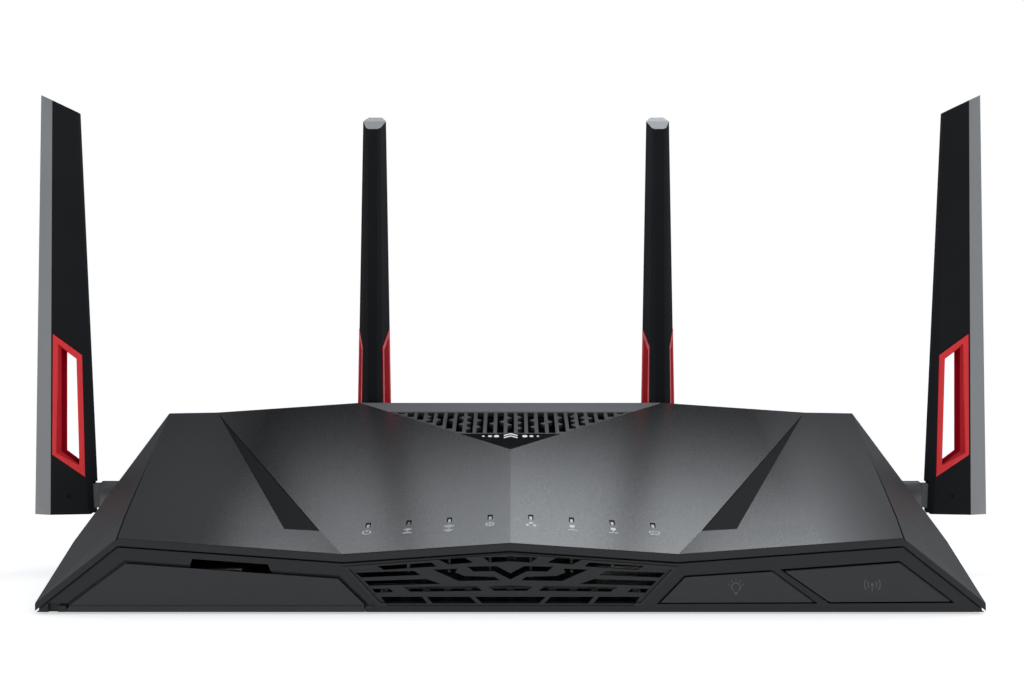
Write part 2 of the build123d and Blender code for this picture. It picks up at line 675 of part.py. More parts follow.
def blade_halves():
    blade = blade_loft(0.0) - blade_trim()
    blade = blade - prism_xz(WINDOW_OUT, -12, 12) - blade_cavity()
    blade = blade - rod((0, -PIN_HALF, 0), (0, PIN_HALF, 0), PIN_R)
    for side in (-1, 1):
        blade = blade - rod((0, side * 5.6, 0), (0, side * 9, 0), 1.0)
    shell = blade & box(-20, 20, -12, 0, -20, 170)
    cover = blade & box(-20, 20, 0.0, 12, -20, 170)
    return shell, cover


def window_frame():
    ring = prism_xz(grow(WINDOW_OUT, -0.03), -9, 9) - prism_xz(WINDOW_IN, -10, 10)
    ring = ring & blade_loft(0.25)
    outer = grow(WINDOW_OUT, -0.35)
    for side in (-1, 1):
        funnel = Solid.make_loft([
            Wire.make_polygon([Vector(u, side * 8.6, z) for u, z in outer], close=True),
            Wire.make_polygon([Vector(u, side * 4.7, z) for u, z in WINDOW_IN], close=True)], ruled=True)
        ring = ring - funnel
    return ring


def antenna_element():
    wire = rod((10.0, 0, 9.5), (9.6, 0, 66), 0.8)
    wire = wire + rod((9.6, 0, 65.6), (5.6, 0, 74), 0.8) + Pos(9.6, 0, 66) * Sphere(0.8)
    wire = wire + rod((5.5, 0, 73), (5.3, 0, 104), 1.7) + rod((5.3, 0, 103), (5.1, 0, 136), 0.9)
    return wire


def hinge_pin():
    return rod((0, -PIN_HALF, 0), (0, PIN_HALF, 0), PIN_R)


def antenna_arm():
    start, stop = -PIN_REACH + 2.2, -10.5
    sleeve = rod((start, 0, 0), (stop, 0, 0), SLEEVE_R)
    sleeve = chamfer(sleeve.edges().filter_by(GeomType.CIRCLE), 0.6)
    for i in range(3):
        ring_x = start + 3.0 + i * 2.0
        sleeve = sleeve - (rod((ring_x, 0, 0), (ring_x + 0.7, 0, 0), SLEEVE_R + 1)
                           - rod((ring_x - 1, 0, 0), (ring_x + 2, 0, 0), SLEEVE_R - 0.4))
    tongue = box(stop - 1.5, 0, -TONGUE_HALF, TONGUE_HALF, -4.6, 4.6)
    tongue = tongue + rod((0, -TONGUE_HALF, 0), (0, TONGUE_HALF, 0), 5.0)
    tongue = tongue & (rod((stop - 2, 0, 0), (6, 0, 0), 5.4) + box(-6, 6, -3, 3, -6, 6))
    arm = sleeve + tongue
    arm = arm - rod((start - 1, 0, 0), (-21.3, 0, 0), JACK_R + JACK_CLEAR)
    return arm - rod((0, -4, 0), (0, 4, 0), PIN_R + PIN_CLEAR)


def antenna_jack():
    wall = -PIN_REACH
    jack = rod((wall - 4.6, 0, 0), (-21.8, 0, 0), JACK_R)
    nut = extrude(Plane.YZ.offset(wall) * RegularPolygon(4.9, 6), amount=1.9)
    jack = jack + nut
    jack = jack + rod((wall - 4.6, 0, 0), (wall - 2.05, 0, 0), 4.4)
    return jack - rod((-27, 0, 0), (-20, 0, 0), 2.2) + rod((-28, 0, 0), (-22.5, 0, 0), 0.6)


def placements():
    return {
        "right": Pos(SIDE_X + PIN_REACH, SIDE_ANT_Y, ARM_Z),
        "left": Pos(-SIDE_X - PIN_REACH, SIDE_ANT_Y, ARM_Z) * Rot(0, 0, 180),
        "rear_left": Pos(REAR_ANT_X[0], REAR_Y + PIN_REACH, REAR_ARM_Z) * Rot(0, 0, 90),
        "rear_right": Pos(REAR_ANT_X[1], REAR_Y + PIN_REACH, REAR_ARM_Z) * Rot(0, 0, 90),
    }


def lead(points):
    wire = rod(points[0], points[1], LEAD_R)
    for start, stop in zip(points[1:], points[2:]):
        wire = wire + Pos(*start) * Sphere(LEAD_R) + rod(start, stop, LEAD_R)
    return wire


def make_leads():
    parts = []
    for s in (-1, 1):
        parts.append(lead([(s * 129.4, SIDE_ANT_Y, ARM_Z), (s * 125, SIDE_ANT_Y, ARM_Z),
                           (s * 118, 128, 24), (s * 108, 122, 14), (s * 101, 118, BOARD_TOP + 0.9)]))
    for x in REAR_ANT_X:
        s = 1 if x > 0 else -1
        parts.append(lead([(x, REAR_Y - 4.6, REAR_ARM_Z), (x, 164, REAR_ARM_Z), (x + s * 8, 140, 20),
                           (s * 74, 122, BOARD_TOP + 0.9)]))
    return Compound(parts)


# ---- save ----------------------------------------------------------------------------------------------
def build():
    under = {drop: volume_under(drop) for drop in (0.2, 0.25, 0.3, 0.5, 0.78, 0.8, 1.0, COVER_T + 0.02)}
    front = Pos(0, FRONT_Y, 0)
    nodes = {
        "top_cover": make_top_cover(under),
        "accent_strips": make_accent_strips(under),
        "badge_plate": make_badge_plate(),
        "top_vent_grille": make_vent_grille(),
        "rear_bar": make_rear_bar(),
        "bottom_housing": make_housing(under),
        "front_bezel": front * make_bezel(under),
        "front_grille": front * make_front_grille(),
        "rear_panel": make_rear_panel(under),
        "main_board": make_board(),
        "board_chips": make_chips(),
        "cpu_heat_sink": make_heat_sink(),
        "radio_shields": make_shields(),
        "lan_socket": rj45(*PORT_FRAMES["lan"], 4),
        "wan_socket": rj45(*PORT_FRAMES["wan"], 1),
        "rear_usb_socket": usb_socket(USB_REAR_X, REAR_Y + 0.2, 164),
        "front_usb_socket": usb_socket(USB_FRONT_X, 7.2, 21.4),
        "dc_inlet": make_dc_jack(),
        "power_switch_body": make_power_switch(),
        "tact_switches": make_tact_switches(),
        "light_guides": make_light_guides(under),
        "status_leds": make_leds(),
        "antenna_leads": make_leads(),
        "housing_screws": make_housing_screws(),
        "board_screws": make_board_screws(),
        "rubber_feet": make_feet(),
        "usb_door": front * make_door(),
        "light_button": front * make_key(LIGHT_KEY, LIGHT_STEM_X),
        "radio_button": front * make_key(RADIO_KEY, RADIO_STEM_X),
        "power_button": make_power_button(),
        "pairing_button": make_round_key(PAIR_X, PAIR_R, 0.6),
        "reset_button": make_round_key(RESET_X, RESET_R, -1.0),
    }
    shell, cover = blade_halves()
    frame = window_frame()
    element = antenna_element()
    pin = hinge_pin()
    arm = antenna_arm()
    jack = antenna_jack()
    jacks = []
    for name, place in placements().items():
        nodes[name + "_blade_shell"] = place * shell
        nodes[name + "_blade_cover"] = place * cover
        nodes[name + "_window_frame"] = place * frame
        nodes[name + "_element"] = place * element
        nodes[name + "_hinge_pin"] = place * pin
        nodes[name + "_arm"] = place * arm
        jacks.append(place * jack)
    nodes["antenna_jacks"] = Compound(jacks)
    return nodes


os.makedirs("parts", exist_ok=True)
for node_name, shape in build().items():
    export_step(Pos(0, Y_SHIFT, FOOT_H) * shape, os.path.join("parts", node_name + ".step"))
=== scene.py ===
import math

import bmesh
import bpy
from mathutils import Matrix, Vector


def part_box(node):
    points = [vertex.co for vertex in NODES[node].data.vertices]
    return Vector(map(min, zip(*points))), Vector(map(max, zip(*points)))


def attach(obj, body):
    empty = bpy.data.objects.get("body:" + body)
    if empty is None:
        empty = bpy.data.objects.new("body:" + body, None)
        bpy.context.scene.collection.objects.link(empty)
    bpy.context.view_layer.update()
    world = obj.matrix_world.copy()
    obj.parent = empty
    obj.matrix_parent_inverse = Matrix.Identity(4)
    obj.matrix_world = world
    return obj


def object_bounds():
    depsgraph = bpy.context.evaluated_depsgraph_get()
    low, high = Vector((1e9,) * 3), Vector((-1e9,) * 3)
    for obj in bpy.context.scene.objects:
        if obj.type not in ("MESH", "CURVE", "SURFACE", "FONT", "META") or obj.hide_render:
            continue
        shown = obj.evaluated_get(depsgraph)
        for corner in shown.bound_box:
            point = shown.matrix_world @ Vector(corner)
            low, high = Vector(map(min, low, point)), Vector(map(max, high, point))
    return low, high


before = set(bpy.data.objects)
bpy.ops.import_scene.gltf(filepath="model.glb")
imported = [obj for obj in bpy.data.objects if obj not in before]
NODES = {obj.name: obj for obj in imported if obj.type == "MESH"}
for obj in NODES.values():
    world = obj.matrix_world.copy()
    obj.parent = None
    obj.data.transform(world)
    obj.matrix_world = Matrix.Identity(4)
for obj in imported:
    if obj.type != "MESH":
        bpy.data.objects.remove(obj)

# Wireless router: materials, printed symbols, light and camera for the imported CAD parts.
# Lengths are in metres unless a name or comment says millimetres.
MM = 0.001
CAD_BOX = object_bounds()
ANTENNAS = ("right", "left", "rear_left", "rear_right")


# ---- material helpers -------------------------------------------------------------
def node_material(name):
    """A new material; returns it with its node tree and its Principled shader."""
    material = bpy.data.materials.new(name)
    material.use_nodes = True
    tree = material.node_tree
    return material, tree, tree.nodes["Principled BSDF"]


def object_coords(tree):
    coords = tree.nodes.new("ShaderNodeTexCoord")
    return coords.outputs["Object"]


def object_normal(tree):
    coords = tree.nodes.new("ShaderNodeTexCoord")
    return coords.outputs["Normal"]


def noise(tree, vector, scale, detail=2.0, rough=0.5):
    texture = tree.nodes.new("ShaderNodeTexNoise")
    texture.inputs["Scale"].default_value = scale
    texture.inputs["Detail"].default_value = detail
    texture.inputs["Roughness"].default_value = rough
    tree.links.new(vector, texture.inputs["Vector"])
    return texture.outputs["Fac"]


def ramp(tree, value, low, high, out_low, out_high):
    """Maps value from low..high to out_low..out_high, clamped."""
    node = tree.nodes.new("ShaderNodeMapRange")
    node.inputs["From Min"].default_value = low
    node.inputs["From Max"].default_value = high
    node.inputs["To Min"].default_value = out_low
    node.inputs["To Max"].default_value = out_high
    tree.links.new(value, node.inputs["Value"])
    return node.outputs["Result"]


# colour sockets of the Mix node
MIX_FIRST, MIX_SECOND, MIX_OUT = 6, 7, 2


def mix_colors(tree, factor, first, second):
    node = tree.nodes.new("ShaderNodeMix")
    node.data_type = "RGBA"
    tree.links.new(factor, node.inputs["Factor"])
    for socket, color in ((node.inputs[MIX_FIRST], first), (node.inputs[MIX_SECOND], second)):
        if isinstance(color, tuple):
            socket.default_value = (*color, 1.0)
        else:
            tree.links.new(color, socket)
    return node.outputs[MIX_OUT]


def math_node(tree, operation, first, second):
    node = tree.nodes.new("ShaderNodeMath")
    node.operation = operation
    tree.links.new(first, node.inputs[0])
    tree.links.new(second, node.inputs[1])
    return node.outputs["Value"]


def absolute(tree, value):
    node = tree.nodes.new("ShaderNodeMath")
    node.operation = "ABSOLUTE"
    tree.links.new(value, node.inputs[0])
    return node.outputs["Value"]


def separate(tree, vector):
    node = tree.nodes.new("ShaderNodeSeparateXYZ")
    tree.links.new(vector, node.inputs["Vector"])
    return node.outputs


def add_bump(tree, shader, height, strength, distance):
    bump = tree.nodes.new("ShaderNodeBump")
    bump.inputs["Strength"].default_value = strength
    bump.inputs["Distance"].default_value = distance
    tree.links.new(height, bump.inputs["Height"])
    tree.links.new(bump.outputs["Normal"], shader.inputs["Normal"])


def moulded_plastic(name, color, roughness, grain=0.25, grain_mm=0.45, spread=0.12, specular=0.5):
    """Moulded plastic: spark-eroded grain in bump and roughness, slow drift in colour."""
    material, tree, shader = node_material(name)
    place = object_coords(tree)
    drift = noise(tree, place, 22.0, 3.0)
    dark = tuple(c * (1.0 - spread) for c in color)
    light = tuple(c * (1.0 + spread) for c in color)
    tree.links.new(mix_colors(tree, drift, dark, light), shader.inputs["Base Color"])
    fine = noise(tree, place, 1.0 / (grain_mm * MM), 3.0, 0.6)
    tree.links.new(ramp(tree, fine, 0.3, 0.7, roughness - 0.05, roughness + 0.05),
                   shader.inputs["Roughness"])
    add_bump(tree, shader, fine, grain, 0.05 * MM)
    shader.inputs["Specular IOR Level"].default_value = specular
    return material


def metal(name, color, roughness, stretch=(1.0, 1.0, 1.0)):
    """Metal with fine brushing along one direction."""
    material, tree, shader = node_material(name)
    place = object_coords(tree)
    mapping = tree.nodes.new("ShaderNodeMapping")
    mapping.inputs["Scale"].default_value = stretch
    tree.links.new(place, mapping.inputs["Vector"])
    brushed = noise(tree, mapping.outputs["Vector"], 900.0, 2.0)
    shader.inputs["Metallic"].default_value = 1.0
    dark = tuple(c * 0.85 for c in color)
    tree.links.new(mix_colors(tree, brushed, dark, color), shader.inputs["Base Color"])
    tree.links.new(ramp(tree, brushed, 0.3, 0.7, roughness - 0.08, roughness + 0.08),
                   shader.inputs["Roughness"])
    add_bump(tree, shader, brushed, 0.15, 0.03 * MM)
    return material


def print_ink(name, color, painted_glow=0.0):
    """Printed ink with a fine speckle; the optional glow is painted light, an emission that keeps a
    bright mark readable.
    """
    material, tree, shader = node_material(name)
    place = object_coords(tree)
    speckle = noise(tree, place, 2500.0, 1.0)
    dark = tuple(c * 0.9 for c in color)
    tree.links.new(mix_colors(tree, speckle, dark, color), shader.inputs["Base Color"])
    shader.inputs["Roughness"].default_value = 0.45
    if painted_glow:
        shader.inputs["Emission Color"].default_value = (*color, 1.0)
        shader.inputs["Emission Strength"].default_value = painted_glow
    return material


def board_material():
    """Green solder mask with tracks, pads and via dots."""
    material, tree, shader = node_material("solder_mask")
    place = object_coords(tree)
    brick = tree.nodes.new("ShaderNodeTexBrick")
    brick.inputs["Scale"].default_value = 160.0
    brick.inputs["Mortar Size"].default_value = 0.03
    brick.inputs["Color1"].default_value = (0.0012, 0.010, 0.006, 1)
    brick.inputs["Color2"].default_value = (0.0016, 0.013, 0.008, 1)
    brick.inputs["Mortar"].default_value = (0.003, 0.024, 0.013, 1)
    tree.links.new(place, brick.inputs["Vector"])
    dots = tree.nodes.new("ShaderNodeTexVoronoi")
    dots.inputs["Scale"].default_value = 260.0
    tree.links.new(place, dots.inputs["Vector"])
    via = ramp(tree, dots.outputs["Distance"], 0.10, 0.14, 1.0, 0.0)
    tree.links.new(mix_colors(tree, via, brick.outputs["Color"], (0.10, 0.08, 0.04)),
                   shader.inputs["Base Color"])
    shader.inputs["Roughness"].default_value = 0.35
    shader.inputs["Coat Weight"].default_value = 0.4
    return material


def guide_material():
    """Smoked plastic of the light guides."""
    material, tree, shader = node_material("light_guide")
    place = object_coords(tree)
    cloud = noise(tree, place, 300.0, 2.0)
    tree.links.new(mix_colors(tree, cloud, (0.045, 0.05, 0.055), (0.075, 0.08, 0.085)),
                   shader.inputs["Base Color"])
    shader.inputs["Roughness"].default_value = 0.3
    shader.inputs["Coat Weight"].default_value = 0.5
    return material


# distance from a paddle's outermost edge inwards to the crease where its grey spine begins
SPINE_DEPTH = 6.7 * MM
CREASE_SOFTNESS = 0.04 * MM
# upward part of the normal from which a face counts as the end cap, and how light its painted highlight
# is
END_CAP_START = 0.6
END_CAP_FULL = 0.75
END_CAP_PAINTED_HIGHLIGHT = 0.55


def paddle_material(antenna):
    """Black paddle faces, with a lighter satin spine past the outer crease and a painted highlight on the
    upward-facing end cap.
    """
    material, tree, shader = node_material(antenna + "_paddle")
    place = object_coords(tree)
    low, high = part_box(antenna + "_blade_shell")
    if antenna.startswith("rear"):
        axis, crease, soft = "Y", high.y - SPINE_DEPTH, CREASE_SOFTNESS
    elif antenna == "right":
        axis, crease, soft = "X", high.x - SPINE_DEPTH, CREASE_SOFTNESS
    else:
        axis, crease, soft = "X", low.x + SPINE_DEPTH, -CREASE_SOFTNESS
    past_crease = ramp(tree, separate(tree, place)[axis], crease - soft, crease + soft, 0.0, 1.0)
    # painted highlight: the slanted end cap, which faces up, is painted partly as light as the spine
    upward = separate(tree, object_normal(tree))["Z"]
    painted_lit_end_cap = ramp(tree, upward, END_CAP_START, END_CAP_FULL, 0.0, END_CAP_PAINTED_HIGHLIGHT)
    mask = math_node(tree, "MAXIMUM", past_crease, painted_lit_end_cap)
    drift = noise(tree, place, 30.0, 2.0)
    face = mix_colors(tree, drift, (0.0165, 0.0172, 0.0187), (0.0215, 0.0224, 0.0243))
    spine = mix_colors(tree, drift, (0.225, 0.228, 0.232), (0.26, 0.263, 0.267))
    tree.links.new(mix_colors(tree, mask, face, spine), shader.inputs["Base Color"])
    tree.links.new(ramp(tree, mask, 0.0, 1.0, 0.34, 0.42), shader.inputs["Roughness"])
    fine = noise(tree, place, 2600.0, 2.0)
    add_bump(tree, shader, fine, 0.12, 0.04 * MM)
    tree.links.new(ramp(tree, mask, 0.0, 1.0, 0.0, 0.30), shader.inputs["Specular IOR Level"])
    return material


# distance to the left and right of the middle over which the cover's finish changes and a painted sheen
# lightens its colour
FLARE_START = 98 * MM
FLARE_END = 124 * MM
FLARE_ROUGHER = 0.22
FLARE_PAINTED_SHEEN = (0.032, 0.033, 0.0345)


def cover_material():
    """Satin plastic of the cover; its flared ends are duller than the middle and are painted lighter as a
    painted sheen.
    """
    satin, dull = 0.36, 0.15
    material = moulded_plastic("cover_plastic", (0.0125, 0.013, 0.0142), 0.29, 0.15, 0.40, specular=satin)
    tree = material.node_tree
    shader = tree.nodes["Principled BSDF"]
    outward = absolute(tree, separate(tree, object_coords(tree))["X"])
    flare = ramp(tree, outward, FLARE_START, FLARE_END, 0.0, 1.0)
    even = shader.inputs["Roughness"].links[0].from_socket
    rougher = ramp(tree, flare, 0.0, 1.0, 0.0, FLARE_ROUGHER)
    tree.links.new(math_node(tree, "ADD", even, rougher), shader.inputs["Roughness"])
    middle = shader.inputs["Base Color"].links[0].from_socket
    # painted sheen: the flared ends get a lighter grey than the middle
    tree.links.new(mix_colors(tree, flare, middle, FLARE_PAINTED_SHEEN), shader.inputs["Base Color"])
    tree.links.new(ramp(tree, flare, 0.0, 1.0, satin, dull), shader.inputs["Specular IOR Level"])
    return material


def frame_material(antenna):
    """Red window frame: bright outer faces with a painted highlight, and a darker red inside the opening
    as painted shade.
    """
    material, tree, shader = node_material(antenna + "_frame_red")
    rear = antenna.startswith("rear")
    sideways = "X" if rear else "Y"
    facing = absolute(tree, separate(tree, object_normal(tree))[sideways])
    # faces turned along this axis get the painted lit red, the walls of the opening the painted shade red
    outer = ramp(tree, facing, 0.25, 0.85, 0.0, 1.0)
    # painted highlight: the lit red of the outer faces, darker on the rear frames
    bright = (0.46, 0.012, 0.018) if rear else (0.90, 0.046, 0.052)
    fine = noise(tree, object_coords(tree), 2200.0, 2.0)
    # painted shade: a darker red for the walls inside the opening, with a fine tone noise
    painted_shade_red = mix_colors(tree, fine, (0.38, 0.003, 0.016), (0.43, 0.004, 0.020))
    tree.links.new(mix_colors(tree, outer, painted_shade_red, bright), shader.inputs["Base Color"])
    tree.links.new(ramp(tree, outer, 0.0, 1.0, 0.0, 0.25), shader.inputs["Specular IOR Level"])
    shader.inputs["Roughness"].default_value = 0.4
    add_bump(tree, shader, fine, 0.06, 0.04 * MM)
    return material


# ---- materials -----------------------------------------------------------------------
COVER = cover_material()
TRIM = moulded_plastic("trim_plastic", (0.006, 0.0062, 0.007), 0.7, 0.2, 0.4, specular=0.06)
BEZEL = moulded_plastic("bezel_plastic", (0.0140, 0.0146, 0.0163), 0.42, 0.2, 0.4, specular=0.36)
GRILLE = moulded_plastic("grille_plastic", (0.0155, 0.0163, 0.0182), 0.42, 0.2, 0.4, specular=0.40)
HOUSING = moulded_plastic("housing_plastic", (0.018, 0.0185, 0.02), 0.5, 0.35, 0.5)
GLOSS = moulded_plastic("gloss_black", (0.004, 0.004, 0.005), 0.14, 0.02, 0.6, 0.05, specular=0.3)
VENT = moulded_plastic("vent_plastic", (0.036, 0.037, 0.040), 0.45, 0.2, 0.4, specular=0.3)
BAR = moulded_plastic("pale_bar", (0.12, 0.124, 0.132), 0.42, 0.2, 0.4, specular=0.4)
KEY = moulded_plastic("key_plastic", (0.020, 0.0215, 0.0245), 0.38, 0.25, 0.4, specular=0.42)
ARM = moulded_plastic("arm_plastic", (0.075, 0.077, 0.080), 0.42, 0.3, 0.4)
CHIP = moulded_plastic("chip_plastic", (0.008, 0.008, 0.009), 0.5, 0.1, 0.3)
RUBBER = moulded_plastic("rubber", (0.012, 0.012, 0.012), 0.75, 0.5, 0.3)
CABLE = moulded_plastic("cable_jacket", (0.006, 0.006, 0.006), 0.5, 0.1, 0.3)
LED = moulded_plastic("led_package", (0.10, 0.075, 0.03), 0.4, 0.1, 0.3)
TIN = metal("tin_plate", (0.42, 0.42, 0.41), 0.4, (1, 8, 1))
STEEL = metal("zinc_steel", (0.45, 0.45, 0.46), 0.35)
ALUMINIUM = metal("aluminium", (0.30, 0.31, 0.33), 0.42, (1, 12, 1))
GOLD = metal("gold_plate", (0.80, 0.58, 0.25), 0.28)
# the silver ink has a painted glow, a painted highlight that keeps the mark bright
SILVER = print_ink("silver_ink", (0.74, 0.75, 0.77), 0.25)
BOARD = board_material()
GUIDE = guide_material()
INK = print_ink("white_ink", (0.75, 0.77, 0.79))
FAINT_INK = print_ink("faint_ink", (0.085, 0.09, 0.095))

NODE_MATERIALS = {
    "top_cover": COVER, "accent_strips": TRIM, "badge_plate": GLOSS, "top_vent_grille": VENT,
    "rear_bar": BAR, "bottom_housing": HOUSING, "front_bezel": BEZEL, "front_grille": GRILLE,
    "rear_panel": HOUSING, "main_board": BOARD, "board_chips": CHIP, "cpu_heat_sink": ALUMINIUM,
    "radio_shields": TIN, "lan_socket": CHIP, "wan_socket": CHIP, "rear_usb_socket": TIN,
    "front_usb_socket": TIN, "dc_inlet": CHIP, "power_switch_body": CHIP, "tact_switches": CHIP,
    "light_guides": GUIDE, "status_leds": LED, "antenna_leads": CABLE, "housing_screws": STEEL,
    "board_screws": STEEL, "rubber_feet": RUBBER, "antenna_jacks": GOLD, "usb_door": KEY,
    "light_button": KEY, "radio_button": KEY, "power_button": TRIM, "pairing_button": TRIM,
    "reset_button": TRIM,
}
for antenna in ANTENNAS:
    paddle = paddle_material(antenna)
    NODE_MATERIALS[antenna + "_blade_shell"] = paddle
    NODE_MATERIALS[antenna + "_blade_cover"] = paddle
    NODE_MATERIALS[antenna + "_window_frame"] = frame_material(antenna)
    NODE_MATERIALS[antenna + "_element"] = GOLD
    NODE_MATERIALS[antenna + "_hinge_pin"] = STEEL
    NODE_MATERIALS[antenna + "_arm"] = ARM

for name, material in NODE_MATERIALS.items():
    data = NODES[name].data
    data.materials.clear()
    data.materials.append(material)


# ---- softened edges on the CAD nodes ----------------------------------------------------
BEVEL_ANGLE = 32.0
BEVEL_SEGMENTS = 2
WELD_DISTANCE = 0.002 * MM


def soften(name, width_mm):
    """Joins the corners of the CAD mesh, then bevels every edge sharper than BEVEL_ANGLE degrees."""
    node = NODES[name]
    weld = node.modifiers.new("weld", "WELD")
    weld.merge_threshold = WELD_DISTANCE
    bevel = node.modifiers.new("soft_edges", "BEVEL")
    bevel.width = width_mm * MM
    bevel.segments = BEVEL_SEGMENTS
    bevel.limit_method = "ANGLE"
    bevel.angle_limit = math.radians(BEVEL_ANGLE)


# bevel widths in millimetres
SOFT_EDGES = {
    "front_bezel": 0.20, "front_grille": 0.15, "rear_bar": 0.25, "usb_door": 0.45,
    "light_button": 0.45, "radio_button": 0.45, "bottom_housing": 0.35, "rear_panel": 0.2,
    "power_button": 0.2, "badge_plate": 0.12, "rubber_feet": 0.3, "lan_socket": 0.12, "wan_socket": 0.12,
}
for antenna in ANTENNAS:
    SOFT_EDGES[antenna + "_blade_shell"] = 0.3
    SOFT_EDGES[antenna + "_blade_cover"] = 0.3
    SOFT_EDGES[antenna + "_window_frame"] = 0.2
    SOFT_EDGES[antenna + "_arm"] = 0.3
for name, width in SOFT_EDGES.items():
    soften(name, width)


# ---- camera ------------------------------------------------------------------------------
CAMERA_X = 0.0005
CAMERA_BACK = 0.603
CAMERA_UP = 0.0813
LENS_MM = 67.2
LENS_SHIFT = 0.0163

front_y = CAD_BOX[0][1]
floor_z = CAD_BOX[0][2]
camera_data = bpy.data.cameras.new("camera")
camera = bpy.data.objects.new("camera", camera_data)
bpy.context.scene.collection.objects.link(camera)
camera.location = (CAMERA_X, front_y - CAMERA_BACK, floor_z + CAMERA_UP)
camera.rotation_euler = (math.radians(90), 0, 0)
camera_data.sensor_width = 36.0
camera_data.lens = LENS_MM
camera_data.shift_y = LENS_SHIFT
camera_data.clip_start = 0.01
bpy.context.scene.camera = camera


# ---- printed symbols, all generic ------------------------------------------------------------
INK_LIFT = 0.05 * MM
INK_DEPTH = 0.06 * MM


def dash(x0, y0, x1, y1, width):
    """A straight stroke as a four-cornered outline."""
    along = Vector((x1 - x0, y1 - y0)).normalized() * (width / 2)
    side = Vector((-along.y, along.x))
    a, b = Vector((x0, y0)), Vector((x1, y1))
    return [tuple(a - side), tuple(b - side), tuple(b + side), tuple(a + side)]


def arc(cx, cy, radius, start, stop, width, steps=14):
    """A curved stroke, angles in degrees."""
    outer, inner = [], []
    for i in range(steps + 1):
        angle = math.radians(start + (stop - start) * i / steps)
        for ring, r in ((outer, radius + width / 2), (inner, radius - width / 2)):
            ring.append((cx + math.cos(angle) * r, cy + math.sin(angle) * r))
    return outer + inner[::-1]


def dot(cx, cy, radius, sides=10):
    return [(cx + math.cos(math.tau * i / sides) * radius, cy + math.sin(math.tau * i / sides) * radius)
            for i in range(sides)]


def block(x0, y0, x1, y1):
    """An upright rectangle."""
    return [(x0, y0), (x1, y0), (x1, y1), (x0, y1)]


def waves(count):
    """A dot with arcs spreading upwards from it."""
    shapes = [dot(0, -0.9, 0.28)]
    for i in range(count):
        shapes.append(arc(0, -0.9, 0.85 + 0.62 * i, 42, 138, 0.26))
    return shapes


# outlines in millimetres about each light's own centre
STATUS_SYMBOLS = [
    [arc(0, 0, 1.15, 120, 420, 0.28, 20), dash(0, 0.35, 0, 1.5, 0.28)],
    waves(2) + [block(-1.3, -2.3, 1.3, -1.9)],
    waves(3) + [block(-1.3, -2.3, 1.3, -1.9), block(-0.7, -3.0, 0.7, -2.7)],
    [arc(0, 0, 1.2, 5, 175, 0.24), arc(0, 0, 1.2, 185, 355, 0.24), dash(-1.0, 0, 1.0, 0, 0.2),
     dash(0, 0.2, 0, 1.0, 0.2), dash(0, -0.2, 0, -1.0, 0.2)],
    [block(-0.5, 0.5, 0.5, 1.3), block(-1.5, -1.3, -0.6, -0.5), block(0.6, -1.3, 1.5, -0.5),
     dash(-1.05, -0.42, -1.05, 0.0, 0.2), dash(1.05, -0.42, 1.05, 0.0, 0.2),
     dash(-1.15, 0.1, 1.15, 0.1, 0.2), dash(0, 0.22, 0, 0.48, 0.2)],
    [block(-0.7, -0.4, 0.7, 1.2), dash(0, -0.5, 0, -1.6, 0.28), block(-1.3, -2.3, 1.3, -1.95)],
    [block(-0.7, -0.4, 0.7, 1.2), dash(0, -0.5, 0, -1.6, 0.28), block(-1.3, -2.3, -0.2, -1.95),
     block(0.2, -2.3, 1.3, -1.95)],
    [arc(-0.75, 0, 0.75, 40, 320, 0.26), arc(0.75, 0, 0.75, -140, 140, 0.26),
     block(-1.3, -1.75, 1.3, -1.45)],
]


def printed(name, shapes, place, normal, material, body):
    """Thin closed plates on a surface: place(x, y) turns millimetres into a point on it, in metres."""
    mesh = bpy.data.meshes.new(name)
    build = bmesh.new()
    for outline in shapes:
        rings = []
        for lift in (-INK_DEPTH, INK_LIFT):
            rings.append([build.verts.new(place(x, y) + normal * lift) for x, y in outline])
        low, high = rings
        build.faces.new(low[::-1])
        build.faces.new(high)
        for i in range(len(low)):
            j = (i + 1) % len(low)
            build.faces.new((low[i], low[j], high[j], high[i]))
    bmesh.ops.recalc_face_normals(build, faces=build.faces)
    build.to_mesh(mesh)
    build.free()
    mesh.materials.append(material)
    piece = bpy.data.objects.new(name, mesh)
    bpy.context.scene.collection.objects.link(piece)
    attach(piece, body)


# the two central facets of the cover, in millimetres: height of the ridge at the front lip,
# rise towards the back and fall towards the sides
FRONT_LIP_Z = 22.5
FACET_RISE = 24.5 / 103.2
FACET_FALL = 3.56 / 53.0
# status symbols: places to each side of the middle, distance behind the lip, outline scales
LED_X = (6.7, 20.1, 33.5, 46.9)
SYMBOL_Y = 19.7
SYMBOL_STRETCH = 1.45
SYMBOL_WIDEN = 1.12


def facet_point(x, depth):
    height = FRONT_LIP_Z + FACET_RISE * depth - FACET_FALL * abs(x)
    return Vector((x * MM, front_y + depth * MM, height * MM))


def make_status_symbols():
    centres = [-x for x in reversed(LED_X)] + list(LED_X)
    for number, (centre, shapes) in enumerate(zip(centres, STATUS_SYMBOLS), 1):
        tilt = FACET_FALL if centre > 0 else -FACET_FALL
        normal = Vector((tilt, -FACET_RISE, 1.0)).normalized()

        def place(x, y, middle=centre):
            return facet_point(middle + x * SYMBOL_WIDEN, SYMBOL_Y + y * SYMBOL_STRETCH)

        printed("status_symbol_%d" % number, shapes, place, normal, INK, "case")


# the badge plate, in millimetres: its tip behind the front lip, its height there and its rise
BADGE_TIP_DEPTH = 103.2
BADGE_TIP_Z = 47.0
BADGE_RISE = 15.3 / 81.8
# its mark: distance behind the tip, and front-to-back scale of the outline
BADGE_MARK_Y = 21.6
BADGE_STRETCH = 1.7


